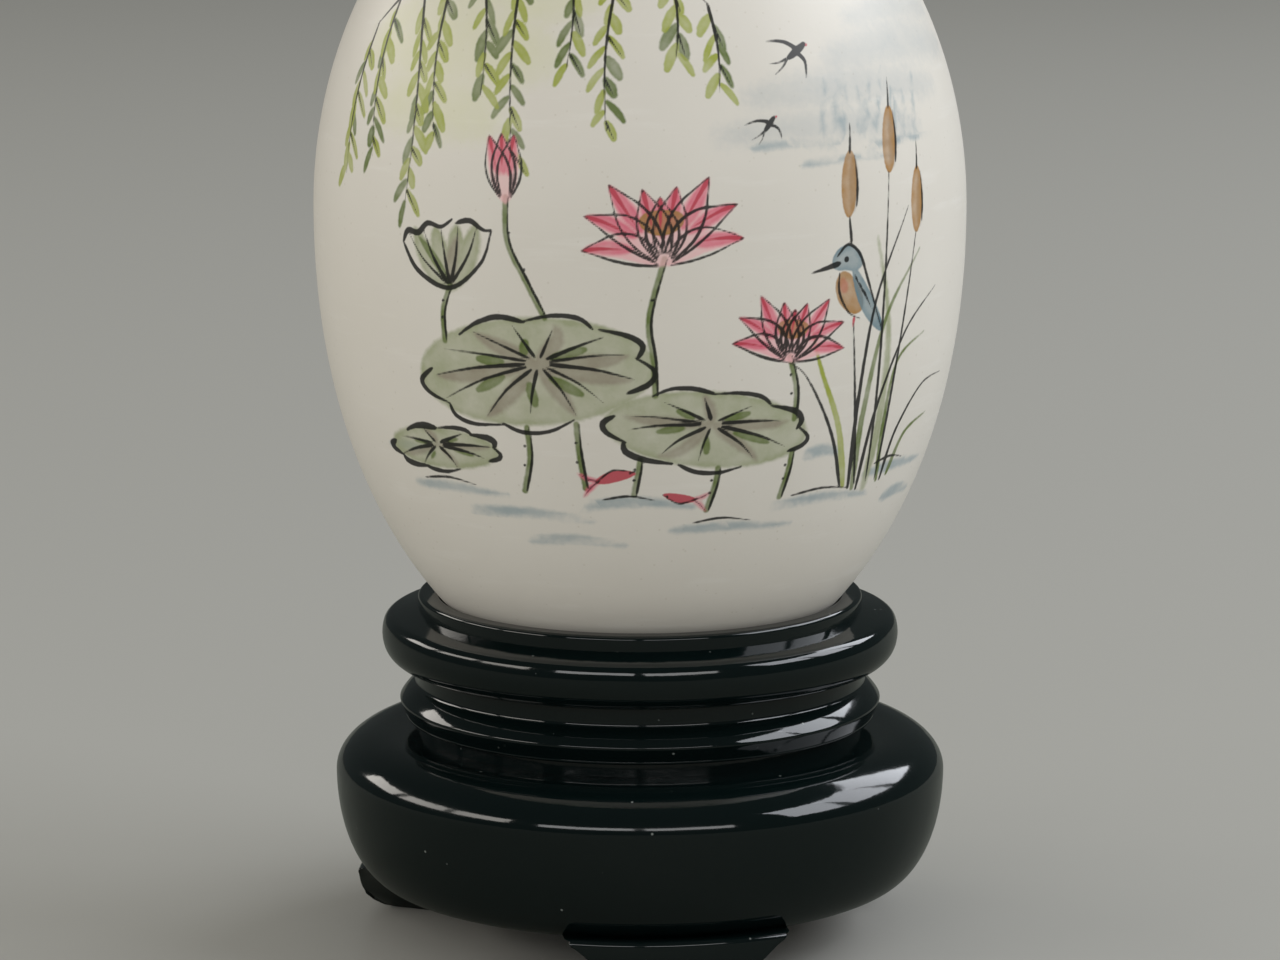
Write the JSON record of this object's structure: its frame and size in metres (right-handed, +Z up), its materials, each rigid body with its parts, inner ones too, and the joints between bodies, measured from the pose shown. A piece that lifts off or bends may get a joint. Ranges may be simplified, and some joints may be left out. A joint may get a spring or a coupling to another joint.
{
  "type": "painted egg on a footed stand",
  "caption": "Blown egg with a painted shell that rests in the cup of a turned, black-lacquered stand with small feet.",
  "frame": {"origin": "on the stand's axis, at the surface that the feet rest on", "axes": "+Z up along the axis of the egg and the stand; -Y towards the viewer, +X to the viewer's right"},
  "size_m": [0.045, 0.045, 0.0789],
  "materials": {
    "eggshell": "smooth satin eggshell under a thin clear varnish, painted in ink and water colour",
    "filler": "matte white plaster filler",
    "lacquer": "turned wood under glossy black lacquer",
    "bare_wood": "plain turned dowel"
  },
  "bodies": {
    "stand": {"seat_collar": "lacquer", "waist_ring": "lacquer", "base_drum": "lacquer", "foot_front": "lacquer", "foot_left": "lacquer", "foot_rear": "lacquer", "foot_dowels": "bare_wood"},
    "egg": {"eggshell": "eggshell", "drain_plug": "filler"}
  },
  "joints": [
    {"name": "egg_lift", "type": "slide", "parent": "stand", "child": "egg", "axis": [0, 0, 1], "range_m": [0, 0.02]}
  ]
}
